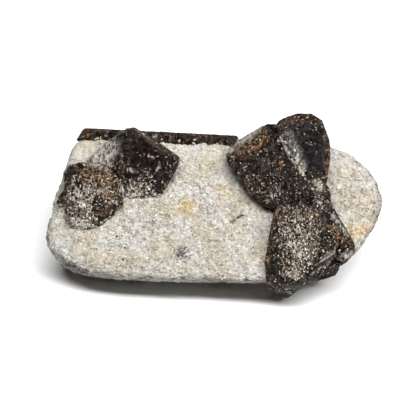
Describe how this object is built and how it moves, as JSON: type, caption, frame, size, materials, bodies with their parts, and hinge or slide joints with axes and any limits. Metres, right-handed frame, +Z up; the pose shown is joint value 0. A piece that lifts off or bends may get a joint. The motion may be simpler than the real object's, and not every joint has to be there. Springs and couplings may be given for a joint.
{
  "type": "staurolite cross specimen",
  "caption": "Hand specimen of brown staurolite crosses and a long prism set in a worn block of pale mica schist, resting on its flat underside.",
  "frame": {"origin": "middle of the bounding box, on the surface that the specimen rests on", "axes": "+X along the specimen's length to the end with the larger cross, +Y towards the back edge with the long prism, +Z up"},
  "size_m": [0.0726, 0.0342, 0.0304],
  "materials": {
    "mica_schist": "pale, fine-grained and sparkling, with layered edges and a few ochre stains",
    "staurolite": "dark reddish brown, dull glassy faces pitted and sprinkled with white mica"
  },
  "bodies": {
    "root": {"schist_matrix": "mica_schist", "left_twin": "staurolite", "right_twin": "staurolite", "back_prism": "staurolite"}
  },
  "joints": []
}
